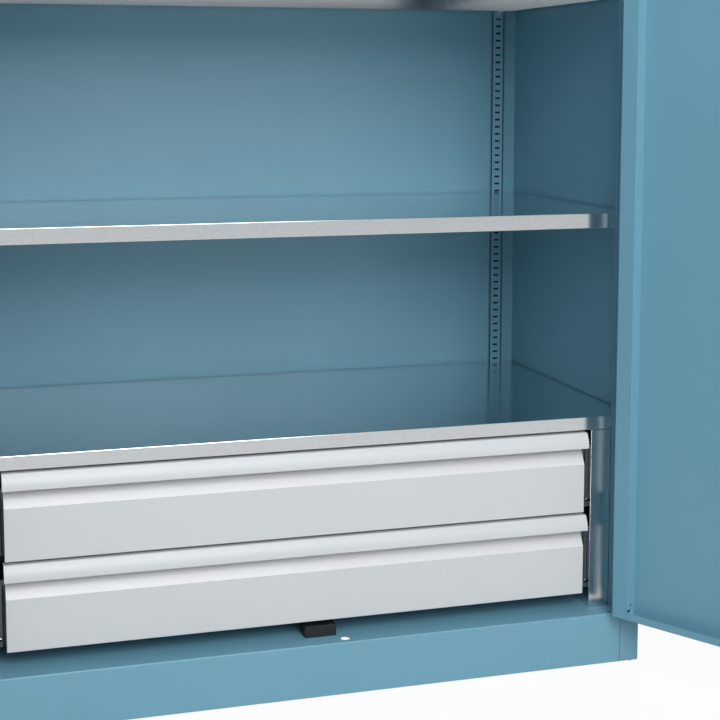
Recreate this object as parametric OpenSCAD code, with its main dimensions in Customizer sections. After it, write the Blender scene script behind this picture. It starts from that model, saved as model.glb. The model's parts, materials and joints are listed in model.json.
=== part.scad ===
// Wing-door storage cabinet, folded from sheet steel, with shelves and two full-width drawers.
// Depths are measured back from the plane of the plinth's face, and insets in from the outer side.

/* [Carcass] */
// Overall width
body_w = 1200; // [1100:1:1400]
// Overall depth
body_d = 600; // [560:1:700]
// Overall height with its feet
body_h = 1950; // [1900:1:2100]
// Thickness of the carcass sheet
sheet = 1; // [0.8:0.1:1.5]
// Height of the plinth's face
plinth_h = 91; // [70:1:150]
// How far the feet stand out below the plinth
foot_drop = 3; // [1:0.5:8]
// Width of a corner post's face
post_w = 37; // [36:0.5:45]
// Depth of a corner post's return
post_return = 38; // [36:0.5:40]
// Width of the hem at the end of that return
post_hem = 4.5; // [2:0.5:6]
// Width of the flange at a side panel's rear edge
rear_flange = 20; // [10:1:24]
// Outer radius of the folds in the carcass
fold_r = 2.5; // [2:0.1:4]
// Radius of a post's bottom outer corner
corner_r = 4; // [1:0.5:8]
// Seam between a corner post and the plinth or the top's front
seam = 0.8; // [0.4:0.1:2]
// Depth of the lip under the plinth
plinth_lip = 15; // [8:1:30]
// Height of the top's front
fascia_h = 34; // [26:1:60]
// Depth of the lip under the top's front
fascia_lip = 62; // [56:1:70]

/* [Fixing points] */
// Spacing of the two wall anchor holes in the back
anchor_spacing = 900; // [600:1:1000]
// Their distance below the top
anchor_drop = 120; // [80:1:200]
// Their diameter
anchor_hole_d = 9; // [5:0.5:14]
// Diameter of the holes that take the lock rods
rod_hole_d = 16; // [13:0.5:20]
// Diameter of the spare holes near the floor's front corners
spare_hole_d = 7; // [4:0.5:9]
// Inset of the spare holes
spare_hole_inset = 53.9; // [50:0.1:70]
// Depth of the spare holes
spare_hole_depth = 10.3; // [8:0.1:18]

/* [Feet] */
// Radius of a foot's pad
pad_r = 6.5; // [5:0.5:8]
// Height of a foot's pad
pad_h = 8; // [6:1:12]
// Diameter of a foot's stem
stem_d = 6; // [4:0.5:6]
// Length of a foot's stem
stem_len = 44; // [40:1:50]
// Height of the foot plates above the plinth's bottom
foot_plate_up = 21; // [18:1:30]
// Thickness of the foot plates
foot_plate_t = 3; // [2:0.5:5]
// Inset and depth of a foot's axis
foot_inset = 12; // [11:0.5:26]
// Thickness of the nut on each stem
nut_t = 6; // [4:0.5:8]

/* [Shelf strips] */
// Width of a slotted strip
strip_w = 30; // [27:1:32]
// How far a strip stands out from its wall
strip_proud = 4; // [3.5:0.5:4]
// Thickness of a strip
strip_t = 1; // [0.8:0.1:1.2]
// Width of the groove along each side of a strip's slotted face
strip_groove = 3; // [2:0.5:3.5]
// Inset of the rear strips
strip_inset = 26; // [24:1:40]
// Depth of the front strips
strip_depth = 45; // [44:1:70]
// Height of the lowest slot above the floor
slot_first = 13; // [10:1:20]
// Spacing of the slots
slot_pitch = 15; // [12:1:25]
// Width of a slot
slot_w = 11; // [11:0.5:14]
// Height of a slot
slot_h = 4; // [3:0.5:6]

/* [Shelves] */
// Slot that carries the first shelf
shelf_1_slot = 45; // [40:1:60]
// Slot that carries the second shelf
shelf_2_slot = 72; // [66:1:80]
// Slot that carries the third shelf
shelf_3_slot = 96; // [90:1:104]
// Thickness of the shelf sheet
shelf_sheet = 1; // [0.8:0.1:1.5]
// Height of a shelf's edge
shelf_edge = 26.5; // [20:0.5:35]
// Height of the edge of the cover over the drawers
cover_edge = 23.6; // [20:0.1:35]
// Width of the lip under a shelf's edge
shelf_lip = 15; // [15:1:30]
// Gap from a shelf to the walls
shelf_gap = 4.5; // [4.5:0.1:6]
// Depth at which shelves, drawer fronts and housings start
front_line = 40.5; // [40.5:0.5:50]
// Thickness of a clip's ledge
clip_t = 2.5; // [2:0.1:3]
// Length of a clip's ledge
clip_reach = 14; // [10:1:20]
// Drop of a clip's front leg
clip_drop = 12; // [6:1:14]
// Thickness of a clip's leg and hook
clip_leg_t = 1.5; // [1:0.1:1.8]
// Side play of a clip in its slot
clip_play = 0.3; // [0.1:0.1:0.6]

/* [Drawers] */
// Height of the lower drawer's front above the floor
drawer_base = 27; // [24:1:60]
// Height of a drawer front
front_h = 146; // [140:1:200]
// Gap above each drawer front
front_gap = 4; // [3:0.1:6]
// Inset of the housings' inner faces
housing_inset = 79.8; // [74:0.1:100]
// Thickness of the housing sheet
housing_t = 1; // [0.8:0.1:1.5]
// Play between a corner post's hem and a housing
housing_play = 0.5; // [0.3:0.1:2]
// Length of the housings
housing_len = 520; // [510:1:550]
// Width of a housing's outer flanges
housing_flange = 20; // [16:1:26]
// Height of a housing's face below the cover
housing_reveal = 1; // [0.5:0.1:2]
// Distance of the screws in the housings' feet from the housings' ends
housing_screw_end = 60; // [30:1:120]
// Distance of the housing's top flange behind its face
housing_relief = 2; // [1.5:0.1:5]
// Thickness of a drawer front's sheet
front_t = 1.5; // [1:0.1:2]
// Height at which the finger recess starts above a front's bottom
bevel_up = 87.5; // [80:0.5:100]
// Height of the recess's slope
bevel_rise = 24.5; // [20:0.5:27]
// Depth of the finger recess
recess = 14; // [12:0.5:20]
// Height of the grip's lower edge above a front's bottom
grip_up = 119; // [116:0.5:130]
// Reach of the grip's lower edge in front of the face
grip_low_reach = 12.6; // [8:0.1:12.8]
// Reach of the grip's upper edge in front of the face
grip_high_reach = 3.3; // [1:0.1:6]
// Bulge of the grip's face
grip_bulge = 2.5; // [1:0.1:3]
// Reach of the grip past each end of its front
grip_over = 2.5; // [0:0.5:4]
// Depth of the ledge under the grip
grip_ledge = 10; // [8:0.5:14]
// Thickness of the drawer box's sheet
box_t = 1; // [0.8:0.1:1.5]
// Height of the drawer boxes
box_h = 112; // [111:1:116]
// Length of the drawer boxes
box_len = 485; // [460:1:490]
// How far a box sits above its front's bottom
box_up = 3; // [3:0.5:6]

/* [Runners] */
// Length of a runner
runner_len = 500; // [470:1:505]
// Width of a runner
runner_w = 12.5; // [12.5:0.1:14]
// Height of a runner's outer member
runner_h = 45; // [40:1:50]
// Depth at which the runners start behind the front line
runner_back = 16.5; // [16:0.5:18]
// Height of a runner's axis above a front's bottom
runner_up = 39; // [36:1:60]
// Width of the flanges of a runner's outer member
outer_flange = 8.5; // [7:0.1:9]
// Distance of the middle member's web from the housing
middle_web = 5.9; // [5.6:0.1:6.2]
// Width of the flanges of a runner's inner member
inner_flange = 4.7; // [4:0.1:5]
// Depth at which the inner members' brackets stand behind a drawer front's face
bracket_back = 10; // [4:0.5:11]
// Width of these brackets in front of the runners
bracket_w = 5.4; // [3:0.1:5.6]
// Gap from these brackets to the housings
bracket_gap = 0.5; // [0.3:0.1:1]
// Height of these brackets above a front's bottom
bracket_up = 7; // [4:0.5:14]
// Thickness of these brackets
bracket_t = 1.5; // [1:0.1:1.5]
// Height of the notch in these brackets above a front's bottom
bracket_notch_up = 16; // [15:0.5:60]
// Height of that notch
bracket_notch_h = 6; // [3:0.5:10]
// Thickness of the runner sheet
runner_t = 1.2; // [1:0.1:1.4]
// Running clearance in the runners
runner_play = 0.3; // [0.2:0.1:0.5]

/* [Doors] */
// Gap between a door and its post
hinge_gap = 2; // [2:0.1:3]
// Gap between the doors
centre_gap = 3; // [2:0.5:5]
// Gap above and below the doors
end_gap = 2; // [1.5:0.5:4]
// Depth of a door's edge
door_d = 25; // [24:0.5:26]
// Thickness of the door sheet
door_t = 1; // [0.8:0.1:1.2]
// Width of the lip on the hinge side
hinge_lip = 30; // [20:1:40]
// Width of the lip on the free side
free_lip = 16; // [10:1:17]
// Height of the lips at top and bottom
end_lip = 13; // [8:1:20]
// Angle of the doors as drawn, from closed
door_open = 120; // [90:1:120]
// Diameter of the small hole in the hinge side's return
weep_d = 5; // [3:0.5:8]
// Width of a door's stiffener
stiffener_w = 60; // [40:1:80]
// Depth of a door's stiffener
stiffener_d = 18; // [12:1:20]
// Height of a door's stiffener from each end of the door
stiffener_end = 16; // [14:1:60]

/* [Hinges] */
// Distance of the hinge axis in front of the plinth's face
pivot_out = 4.2; // [4.1:0.1:5]
// Radius of a hinge barrel
barrel_r = 3.8; // [3.4:0.1:3.9]
// Radius of a hinge pin
pin_r = 2.5; // [1.8:0.1:2.6]
// Running clearance on the pins and other turning shafts
run_play = 0.05; // [0.02:0.01:0.1]
// Height of one half of a hinge
knuckle_h = 30; // [20:1:40]
// Depth of a hinge leaf behind the plinth's face
leaf_d = 20; // [10:1:22]
// Thickness of a hinge leaf
leaf_t = 0.9; // [0.6:0.1:0.9]
// Thickness of the washer in a hinge
washer_t = 1; // [0.5:0.1:2]
// Distance of the outer hinges from the door's ends
hinge_end = 165; // [100:1:300]

/* [Stops] */
// Width of a stop block
stop_w = 55.5; // [50:0.5:70]
// Height of a stop block
stop_h = 19.6; // [12:0.1:22]
// Length of the bottom stop block
stop_len = 35; // [20:1:40]
// Length of the top stop block
top_stop_len = 24; // [20:1:26]
// Depth at which the stop blocks start
stop_depth = 35.4; // [34:0.1:36]
// Distance of a stop block's middle to the right of the centre
stop_shift = 16; // [14:0.5:18]
// Thickness of the overlap strip on the left door
overlap_t = 1.5; // [1:0.1:1.6]
// Reach of the overlap strip past the centre
overlap_reach = 42; // [30:1:42]
// Play between the overlap strip and the right door
overlap_play = 0.5; // [0.3:0.1:0.6]
// Play between the strip's tabs and the stop blocks
tab_play = 0.3; // [0.2:0.1:0.6]
// Height of the strip's tabs
tab_h = 14; // [8:1:16]

/* [Lock] */
// Height of the handle's axis above the floor
handle_up = 906; // [800:1:1000]
// Distance of the lower rod from the centre
rod_x = 54.5; // [54:0.1:60]
// Depth of the rods
rod_depth = 17.7; // [17:0.1:18]
// Radius of the rods
rod_r = 5; // [4:0.1:5]
// Distance of a drawn-in rod's tip from the door's end
rod_tip = 3; // [2:0.5:6]
// Module of the rack and pinion
gear_m = 1.25; // [1.25:0.01:1.26]
// Teeth of the pinion
gear_teeth = 16; // [16:1:16]
// Backlash of the rack and pinion
gear_lash = 0.3; // [0.2:0.05:0.4]
// Depth of the toothed parts
gear_depth = 7; // [5:0.5:8]
// Wall of the lock case
case_wall = 1.5; // [1:0.1:1.8]
// Half the height of the lock case
case_half = 45; // [40:1:50]
// Height of the case's fixing tabs
case_tab = 12; // [10:1:16]
// Side of the square spindle
spindle_w = 7; // [5:0.5:8]
// Radius of the handle's hub
hub_r = 9; // [7:0.5:12]
// Length of the handle from its axis
lever_len = 115; // [80:1:140]
// Height of the lever's section
lever_h = 18; // [12:1:24]
// Thickness of the lever's section
lever_t = 12; // [8:1:16]
// Distance of the lever's outer face from the door
lever_out = 34; // [30:1:45]
// Thickness of the handle plate
plate_t = 8; // [5:1:12]
// Reach of the handle plate's straight part below the handle's axis
plate_below = 30; // [20:1:40]
// Reach of the handle plate's straight part above the lock's axis
plate_above = 6; // [4:1:20]
// Width of the handle plate
plate_w = 34; // [28:1:40]
// Height of the lock above the handle's axis
lock_up = 72; // [72:1:90]
// Radius of the lock barrel
lock_r = 8; // [6:0.5:8.2]
// Radius of the key's bow
bow_r = 11; // [8:0.5:13]
// Thickness of the key
key_t = 2.4; // [1.5:0.1:3]
// Height of a rod guide
guide_h = 16; // [10:1:30]

/* [Screws] */
// Diameter of the screws
screw_d = 5; // [3:0.5:5.5]
// Diameter of the screw heads
screw_head_d = 10; // [8:0.5:11]
// Height of the screw heads
screw_head_h = 3; // [2:0.5:4]
// Length of the screws under their heads
screw_len = 10; // [8:1:14]

/* [Hidden] */
$fn = 48;

// Colours of the finishes
paint_blue = [0.376, 0.576, 0.675];
drawer_grey = [0.79, 0.81, 0.82];
zinc = [0.66, 0.69, 0.71];
steel = [0.6, 0.6, 0.62];
black_plastic = [0.12, 0.13, 0.14];
nylon = [0.9, 0.9, 0.88];

// Main levels and lines
floor_z = foot_drop + plinth_h;
side_x = body_w / 2 - sheet;
back_w = body_d - 2 * sheet;
post_x = body_w / 2 - post_w;
hem_inset = post_w + post_hem;
ceiling_z = body_h - fascia_h;
cut_over = 1;
nut_sides = 6;
front_rail_x = post_x - seam;

// Shelf strips and shelves
strip_gap = 2;
strip_bottom = floor_z + strip_gap;
strip_top = body_h - sheet - strip_gap;
slot_count = floor((strip_top - slot_h - floor_z - slot_first) / slot_pitch) + 1;
shelf_half = side_x - shelf_gap;
shelf_back = back_w - shelf_gap;
strip_middle_inset = strip_inset + strip_w / 2;
strip_middle_depth = strip_depth + strip_w / 2;

// Drawers
drawer_pitch = front_h + front_gap;
housing_x = body_w / 2 - housing_inset;
housing_h = drawer_base + 2 * drawer_pitch;
drawer_half = housing_x - runner_w;
front_back = front_line + recess + front_t;
cover_top = floor_z + housing_h + cover_edge;
recess_foot = 12;

// Runners
middle_half = runner_h / 2 - 4;
middle_side = 1.4;
outer_ball_side = 1.8;
outer_ball_w = 4;
inner_ball_side = 1;
inner_ball_w = 2;
inner_ball_h = 3;
middle_end = 2;
inner_back = 12;
inner_front = 1;
inner_half = middle_half - runner_t - inner_ball_h - runner_play;

// Doors and hinges
pivot_inset = post_w + hinge_gap / 2;
pivot = [body_w / 2 - pivot_inset, -body_d / 2 - pivot_out, 0];
door_in = centre_gap / 2;
door_out = post_x - hinge_gap;
door_bottom = floor_z + end_gap;
door_top = ceiling_z - end_gap;
hinge_levels = [door_bottom + hinge_end, (door_bottom + door_top) / 2, door_top - hinge_end];
knuckle_play = 0.2;
weep_up = 24;
notch_h = 4;
notch_d = 12;
tab_end = 6;
tab_clear = 1;

// Lock
pinion_r = gear_m * gear_teeth / 2;
tooth_add = 0.8 * gear_m;
tooth_ded = tooth_add + 0.3;
pinion_x = rod_x - rod_r + tooth_add - pinion_r;
upper_rod_x = 2 * pinion_x - rod_x;
handle_z = floor_z + handle_up;
handle_turn = 90;
rod_travel = pinion_r * handle_turn * PI / 180;
rack_behind = 12;
rack_ahead = rod_travel + rack_behind;
case_back = door_d - 0.4;
rod_gap = 1;
barrel_gap = 0.5;
case_side = rod_x + rod_r + rod_gap + case_wall;
case_inner = upper_rod_x - rod_r - rod_gap - case_wall;
journal_r = spindle_w * 0.93;
stop_left = stop_shift - stop_w / 2;
lever_in = lever_out - lever_t;
lock_z = handle_z + lock_up;
hub_gap = 0.5;
hub_collar = 2;
spindle_gap = 0.2;
barrel_face = -plate_t - 1;
barrel_back = 10;
key_stop = 4;
key_reach = 6;
key_hole_r = 2.5;
rack_join = 8;
rack_tail = 20;
rack_root = 0.1;
pressure_angle = 20;

// Coordinates from an inset or a depth
function at_inset(u) = body_w / 2 - u;
function at_depth(w) = w - body_d / 2;

// A box between two insets on the right, two depths and two levels
module side_box(u, w, z) {
    translate([at_inset(u[1]), at_depth(w[0]), z[0]])
        cube([u[1] - u[0], w[1] - w[0], z[1] - z[0]]);
}

// A box between two places across, two depths and two levels
module span_box(x, w, z) {
    translate([x[0], at_depth(w[0]), z[0]])
        cube([x[1] - x[0], w[1] - w[0], z[1] - z[0]]);
}

// An upright cylinder at a place across and a depth
module upright(x, w, z, r) {
    translate([x, at_depth(w), z[0]])
        cylinder(h = z[1] - z[0], r = r);
}

// A cylinder from front to back
module crosswise(x, z, w, r) {
    translate([x, at_depth(w[1]), z])
        rotate([90, 0, 0])
            cylinder(h = w[1] - w[0], r = r);
}

// A profile in depth and height, drawn out across the cabinet
module drawn_across(x0, x1) {
    translate([x0, at_depth(0), 0])
        rotate([90, 0, 90])
            linear_extrude(x1 - x0)
                children();
}

// A profile seen from the front, drawn out in depth
module drawn_back(w0, w1) {
    translate([0, at_depth(w1), 0])
        rotate([90, 0, 0])
            linear_extrude(w1 - w0)
                children();
}

module mirrored() {
    mirror([1, 0, 0])
        children();
}

module both_sides() {
    children();
    mirrored()
        children();
}

// A quarter of a ring, for a fold in sheet
module fold(r, t) {
    intersection() {
        difference() {
            circle(r);
            circle(r - t);
        }
        square(r);
    }
}

// Turns what is drawn on the closed right door to where the door stands
module on_right_door() {
    translate(pivot)
        rotate([0, 0, door_open])
            translate(-pivot)
                children();
}

module on_left_door() {
    mirrored()
        on_right_door()
            children();
}

// Points of a shallow arc from p to q that bulges to the left of that direction
function arc_points(p, q, bulge, n) =
    let (
        chord = norm(q - p),
        r = (chord * chord / 4 + bulge * bulge) / (2 * bulge),
        along = (q - p) / chord,
        out = [-along[1], along[0]],
        middle = (p + q) / 2 - out * (r - bulge),
        half = asin(chord / 2 / r)
    )
    [for (i = [0 : n])
        let (a = -half + 2 * half * i / n)
        middle + r * sin(a) * along + r * cos(a) * out];

// Plan of the right side panel with its corner post
module side_plan() {
    translate([at_inset(sheet), at_depth(fold_r)])
        square([sheet, body_d - fold_r]);
    translate([at_inset(post_w - fold_r), at_depth(0)])
        square([post_w - 2 * fold_r, sheet]);
    translate([at_inset(fold_r), at_depth(fold_r)])
        mirror([0, 1])
            fold(fold_r, sheet);
    translate([at_inset(post_w - fold_r), at_depth(fold_r)])
        rotate(180)
            fold(fold_r, sheet);
    translate([at_inset(post_w), at_depth(fold_r)])
        square([sheet, post_return + sheet - fold_r]);
    translate([at_inset(hem_inset), at_depth(post_return)])
        square([post_hem + sheet, sheet]);
    translate([at_inset(rear_flange), at_depth(body_d - sheet)])
        square([rear_flange, sheet]);
}

module right_side() {
    cut_depth = fold_r + corner_r;
    difference() {
        translate([0, 0, foot_drop])
            linear_extrude(body_h - sheet - foot_drop)
                side_plan();
        drawn_back(-cut_over, cut_depth)
            difference() {
                translate([at_inset(corner_r), foot_drop - cut_over])
                    square([corner_r + cut_over, corner_r + cut_over]);
                translate([at_inset(corner_r), foot_drop + corner_r])
                    circle(corner_r);
            }
    }
}

module left_side_panel() {
    color(paint_blue)
        mirrored()
            right_side();
}

module right_side_panel() {
    color(paint_blue)
        right_side();
}

module back_panel() {
    color(paint_blue)
        difference() {
            span_box([-side_x, side_x], [back_w, back_w + sheet], [foot_drop, body_h - sheet]);
            both_sides()
                crosswise(anchor_spacing / 2, body_h - anchor_drop, [back_w - cut_over, body_d], anchor_hole_d / 2);
        }
}

module top_panel() {
    color(paint_blue)
        difference() {
            union() {
                span_box([-body_w / 2, body_w / 2], [0, body_d], [body_h - sheet, body_h]);
                span_box([-front_rail_x, front_rail_x], [0, sheet], [ceiling_z, body_h]);
                span_box([-front_rail_x, front_rail_x], [0, post_return], [ceiling_z, ceiling_z + sheet]);
                span_box([-side_inner(), side_inner()], [post_return, fascia_lip], [ceiling_z, ceiling_z + sheet]);
            }
            upright(upper_rod_x, rod_depth, [ceiling_z - cut_over, ceiling_z + sheet + cut_over], rod_hole_d / 2);
        }
}

// Half width that clears the corner posts' hems
function side_inner() = at_inset(hem_inset) - seam;

module floor_profile() {
    translate([0, foot_drop])
        square([sheet, plinth_h - fold_r]);
    translate([fold_r, floor_z - fold_r])
        mirror([1, 0])
            fold(fold_r, sheet);
    translate([fold_r, floor_z - sheet])
        square([back_w - fold_r, sheet]);
    translate([0, foot_drop])
        square([plinth_lip, sheet]);
}

module floor_panel() {
    wide_from = post_return + sheet + seam;
    color(paint_blue)
        difference() {
            union() {
                drawn_across(-side_inner(), side_inner())
                    floor_profile();
                both_sides()
                    drawn_across(side_inner() - cut_over, front_rail_x)
                        intersection() {
                            floor_profile();
                            square([post_return - seam, floor_z]);
                        }
                both_sides()
                    span_box([side_inner() - cut_over, side_x], [wide_from, back_w], [floor_z - sheet, floor_z]);
            }
            upright(rod_x, rod_depth, [floor_z - 2 * sheet, floor_z + cut_over], rod_hole_d / 2);
            both_sides()
                upright(at_inset(spare_hole_inset), spare_hole_depth, [floor_z - 2 * sheet, floor_z + cut_over],
                    spare_hole_d / 2);
            housing_screw_places()
                upright(0, 0, [floor_z - 2 * sheet, floor_z + cut_over], screw_d / 2);
        }
}

// Puts a copy at each corner, for feet
module at_feet() {
    for (w = [foot_inset, body_d - foot_inset])
        both_sides()
            translate([at_inset(foot_inset), at_depth(w), 0])
                children();
}

module foot_plates() {
    plate_z = foot_drop + foot_plate_up;
    front_plate = [[sheet, post_w - sheet], [fold_r, post_return]];
    rear_plate = [[sheet, post_w], [body_d - post_return - sheet, back_w]];
    color(zinc)
        difference() {
            for (p = [front_plate, rear_plate])
                both_sides()
                    side_box(p[0], p[1], [plate_z, plate_z + foot_plate_t]);
            at_feet()
                translate([0, 0, plate_z - cut_over])
                    cylinder(h = foot_plate_t + 2 * cut_over, r = stem_d / 2);
        }
}

module levelling_feet() {
    nut_z = foot_drop + foot_plate_up + foot_plate_t;
    color(black_plastic)
        at_feet() {
            cylinder(h = pad_h, r = pad_r);
            cylinder(h = pad_h + stem_len, r = stem_d / 2);
            translate([0, 0, nut_z])
                cylinder(h = nut_t, r = stem_d, $fn = nut_sides);
        }
}

// The section of one strip, as width and stand-out, with a groove along each side of its slotted face
module strip_plan() {
    face = strip_w / 2 - strip_t - strip_groove;
    difference() {
        translate([-strip_w / 2, 0])
            square([strip_w, strip_proud]);
        translate([strip_t - face, -strip_t])
            square([2 * (face - strip_t), strip_proud]);
        for (s = [0, 1])
            mirror([s, 0])
                translate([face, strip_t])
                    square([strip_groove, strip_proud]);
    }
}

module slotted_strip() {
    color(paint_blue)
        difference() {
            translate([0, 0, strip_bottom])
                linear_extrude(strip_top - strip_bottom)
                    strip_plan();
            for (i = [0 : slot_count - 1])
                translate([-slot_w / 2, strip_proud - 2 * strip_t, slot_z(i) - slot_h / 2])
                    cube([slot_w, 3 * strip_t, slot_h]);
        }
}

function slot_z(i) = floor_z + slot_first + i * slot_pitch;

// Places a strip, or what hangs in it, with its back on the wall and its face into the cabinet
module at_rear_strip() {
    translate([at_inset(strip_middle_inset), at_depth(back_w), 0])
        rotate([0, 0, 180])
            children();
}

module at_front_strip() {
    translate([side_x, at_depth(strip_middle_depth), 0])
        rotate([0, 0, 90])
            children();
}

module rear_left_strip() {
    mirrored()
        at_rear_strip()
            slotted_strip_under(0);
}

module rear_right_strip() {
    at_rear_strip()
        slotted_strip_under(0);
}

// A strip in the corner posts' shadow, cut back where the top's lip reaches it
module slotted_strip_under(drop) {
    difference() {
        slotted_strip();
        translate([-strip_w, -cut_over, strip_top - drop])
            cube([2 * strip_w, 2 * strip_w, drop + cut_over]);
    }
}

module front_left_strip() {
    mirrored()
        front_right_strip();
}

module front_right_strip() {
    at_front_strip()
        slotted_strip_under(fascia_h);
}

// A shelf folded down on all sides, with lips turned in under its edges
module tray(z_top, edge) {
    inner = shelf_half - shelf_sheet;
    lip = shelf_half - shelf_lip;
    color(zinc)
        difference() {
            span_box([-shelf_half, shelf_half], [front_line, shelf_back], [z_top - edge, z_top]);
            span_box([-inner, inner], [front_line + shelf_sheet, shelf_back - shelf_sheet],
                [z_top - edge + shelf_sheet, z_top - shelf_sheet]);
            span_box([-lip, lip], [front_line + shelf_lip, shelf_back - shelf_lip],
                [z_top - edge - cut_over, z_top - edge + 2 * shelf_sheet]);
        }
}

function ledge_z(slot) = slot_z(slot) - slot_h / 2 + clip_t;

module cover_shelf() {
    tray(cover_top, cover_edge);
}

module shelf_1() {
    tray(ledge_z(shelf_1_slot) + shelf_edge, shelf_edge);
}

module shelf_2() {
    tray(ledge_z(shelf_2_slot) + shelf_edge, shelf_edge);
}

module shelf_3() {
    tray(ledge_z(shelf_3_slot) + shelf_edge, shelf_edge);
}

// A clip hooked in a slot, with its ledge at level z
module clip(z) {
    width = slot_w - 2 * clip_play;
    hook_back = strip_proud - strip_t - clip_play - clip_leg_t;
    hook_up = slot_h / 2;
    translate([-width / 2, 0, z]) {
        translate([0, hook_back, -clip_t])
            cube([width, strip_proud - hook_back + clip_reach, clip_t]);
        translate([0, hook_back, -clip_t])
            cube([width, clip_leg_t, clip_t + hook_up]);
        translate([0, strip_proud, -clip_t - clip_drop])
            cube([width, clip_leg_t, clip_drop + clip_t]);
    }
}

module four_clips(slot) {
    color(zinc)
        both_sides() {
            at_rear_strip()
                clip(ledge_z(slot));
            at_front_strip()
                clip(ledge_z(slot));
        }
}

module shelf_1_clips() {
    four_clips(shelf_1_slot);
}

module shelf_2_clips() {
    four_clips(shelf_2_slot);
}

module shelf_3_clips() {
    four_clips(shelf_3_slot);
}

// Puts a copy at each screw in the housings' feet
module housing_screw_places() {
    for (w = [front_line + housing_screw_end, front_line + housing_len - housing_screw_end])
        both_sides()
            translate([at_inset(housing_inset - housing_t - housing_flange / 2), w, 0])
                children();
}

module right_housing() {
    outer = hem_inset + housing_play;
    wall = [housing_inset - housing_t, housing_inset];
    length = [front_line, front_line + housing_len];
    flange = [housing_inset - housing_flange, housing_inset];
    top = floor_z + housing_h;
    color(zinc)
        difference() {
            union() {
                side_box([outer, housing_inset], [front_line, front_line + housing_t], [floor_z, top - housing_reveal]);
                side_box(wall, length, [floor_z, top]);
                side_box([outer, housing_inset], [length[1] - housing_t, length[1]], [floor_z, top]);
                side_box(flange, length, [floor_z, floor_z + housing_t]);
                side_box(flange, [front_line + housing_relief, length[1]], [top - housing_t, top]);
            }
            housing_screw_places()
                upright(0, 0, [floor_z - cut_over, floor_z + housing_t + cut_over], screw_d / 2);
        }
}

module left_drawer_housing() {
    mirrored()
        right_housing();
}

module right_drawer_housing() {
    right_housing();
}

module housing_screws() {
    head_z = floor_z + housing_t;
    color(steel)
        housing_screw_places() {
            upright(0, 0, [head_z - screw_len, head_z], screw_d / 2);
            upright(0, 0, [head_z, head_z + screw_head_h], screw_head_d / 2);
        }
}

// Sections of the runner's members, as distance from the housing and height over its axis
module outer_section() {
    half = runner_h / 2;
    translate([0, -half])
        square([runner_t, runner_h]);
    for (s = [-1, 1])
        translate([0, s > 0 ? half - runner_t : -half])
            square([outer_flange, runner_t]);
}

module middle_section() {
    half = middle_half;
    ball_out = runner_h / 2 - runner_t - runner_play;
    ball_in = half - runner_t - inner_ball_h;
    translate([middle_web, -half])
        square([runner_t, 2 * half]);
    for (s = [0, 1])
        mirror([0, s]) {
            translate([runner_t + middle_side, half - runner_t])
                square([runner_w - 2 * (runner_t + middle_side), runner_t]);
            translate([runner_t + outer_ball_side, half])
                square([outer_ball_w, ball_out - half]);
            translate([middle_web + runner_t + inner_ball_side, ball_in])
                square([inner_ball_w, half - runner_t - ball_in]);
        }
}

module inner_section() {
    translate([runner_w - runner_t, -inner_half])
        square([runner_t, 2 * inner_half]);
    for (s = [0, 1])
        mirror([0, s])
            translate([runner_w - inner_flange, inner_half - runner_t])
                square([inner_flange, runner_t]);
}

// A pair of runner members at a drawer front that starts at level base
module runner_pair(base, back, front) {
    start = front_line + runner_back;
    color(zinc)
        both_sides()
            translate([housing_x, at_depth(start + runner_len - back), base + runner_up])
                rotate([90, 0, 0])
                    linear_extrude(runner_len - back - front)
                        mirror([1, 0])
                            children();
}

// The stepped bracket on the right inner member, which closes the gap beside the drawer front
module inner_bracket() {
    step_in = housing_x - bracket_gap - bracket_w - bracket_t;
    height = [bracket_up, grip_up - bracket_gap];
    face = front_line + bracket_back;
    inner_start = front_line + runner_back + inner_front;
    difference() {
        union() {
            span_box([drawer_half, drawer_half + runner_t], [front_back - bracket_t, inner_start + runner_t],
                [runner_up - inner_half, runner_up + inner_half]);
            span_box([drawer_half, step_in + bracket_t], [front_back - bracket_t, front_back], height);
            span_box([step_in, step_in + bracket_t], [face, front_back], height);
            span_box([step_in, housing_x - bracket_gap], [face, face + bracket_t], height);
        }
        span_box([step_in + bracket_t, housing_x], [face - cut_over, face + bracket_t + cut_over],
            [bracket_notch_up, bracket_notch_up + bracket_notch_h]);
    }
}

module inner_runners(base) {
    runner_pair(base, inner_back, inner_front)
        inner_section();
    color(zinc)
        translate([0, 0, base])
            both_sides()
                inner_bracket();
}

// A drawer front's sheet, as depth and height over its bottom
module front_profile() {
    back = front_back;
    top = front_h - front_t;
    polygon([
        [back, 0],
        [front_line, 0],
        [front_line, bevel_up],
        [back - front_t, bevel_up + bevel_rise],
        [back - front_t, top],
        [back, top],
        [back, bevel_up + bevel_rise],
        [front_line + front_t, bevel_up],
        [front_line + front_t, front_t],
        [back - front_t, front_t],
        [back - front_t, recess_foot],
        [back, recess_foot]
    ]);
}

// The cheek that closes a drawer front's end
module cheek_profile() {
    face = front_back - front_t;
    top = front_h - front_t;
    polygon([
        [front_back, 0],
        [front_line, 0],
        [front_line, bevel_up],
        [face, bevel_up + bevel_rise],
        [face, top],
        [front_back, top]
    ]);
}

module drawer_front(base) {
    color(drawer_grey)
        translate([0, 0, base]) {
            drawn_across(-drawer_half, drawer_half)
                front_profile();
            both_sides()
                drawn_across(drawer_half - front_t, drawer_half)
                    cheek_profile();
        }
}

// The grip's outline, or its hollow when drawn in by t
module grip_profile() {
    low = [front_line - grip_low_reach, grip_up];
    high = [front_line - grip_high_reach, front_h];
    thin = [front_t, front_t];
    back = front_back;
    steps = 8;
    difference() {
        polygon(concat(arc_points(low, high, grip_bulge, steps), [[back, front_h], [back, grip_up], low]));
        polygon(concat(
            arc_points(low + thin, high + [front_t, -front_t], grip_bulge, steps),
            [[back + cut_over, front_h - front_t], [back + cut_over, grip_up + front_t]]
        ));
        translate([low[0] + grip_ledge, grip_up - cut_over])
            square([back, front_t + 2 * cut_over]);
    }
}

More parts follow.
